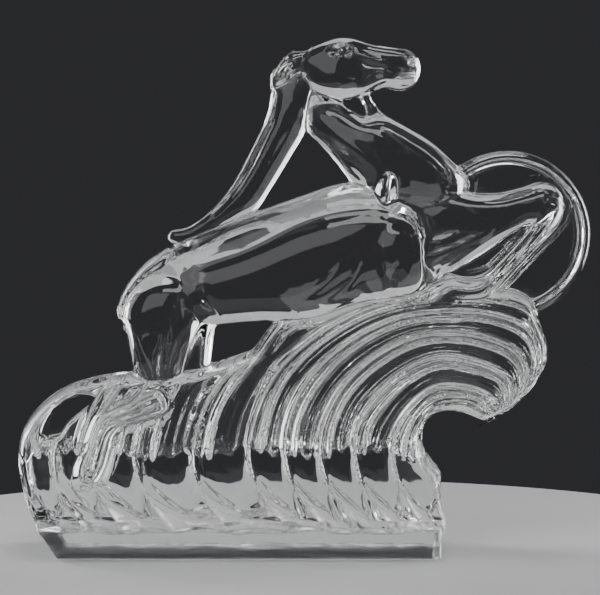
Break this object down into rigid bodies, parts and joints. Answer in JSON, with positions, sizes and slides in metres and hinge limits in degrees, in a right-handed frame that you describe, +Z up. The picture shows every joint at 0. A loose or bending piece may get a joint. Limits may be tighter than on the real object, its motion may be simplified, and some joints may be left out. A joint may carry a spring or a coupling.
{
  "type": "hood ornament",
  "caption": "Clear pressed-glass hood ornament: a leaping horse with swept mane over a curling ribbed wave, on a flat plinth.",
  "frame": {"origin": "middle of the underside, at the centre of the overall length and depth", "axes": "+X the way the horse leaps, +Y towards its off side, across the thickness, +Z up"},
  "size_m": [0.2543, 0.06, 0.2286],
  "materials": {
    "clear_glass": "fire-polished pressed glass, with a satin ground underside"
  },
  "bodies": {
    "root": {"plinth": "clear_glass", "swell_left": "clear_glass", "swell_middle": "clear_glass", "swell_right": "clear_glass", "crest_outer": "clear_glass", "crest_middle": "clear_glass", "crest_inner": "clear_glass", "splash_disc": "clear_glass", "torso": "clear_glass", "neck": "clear_glass", "head": "clear_glass", "near_ear": "clear_glass", "off_ear": "clear_glass", "mane": "clear_glass", "tail": "clear_glass", "near_hind_leg": "clear_glass", "off_hind_leg": "clear_glass", "near_foreleg": "clear_glass", "off_foreleg": "clear_glass"}
  },
  "joints": []
}
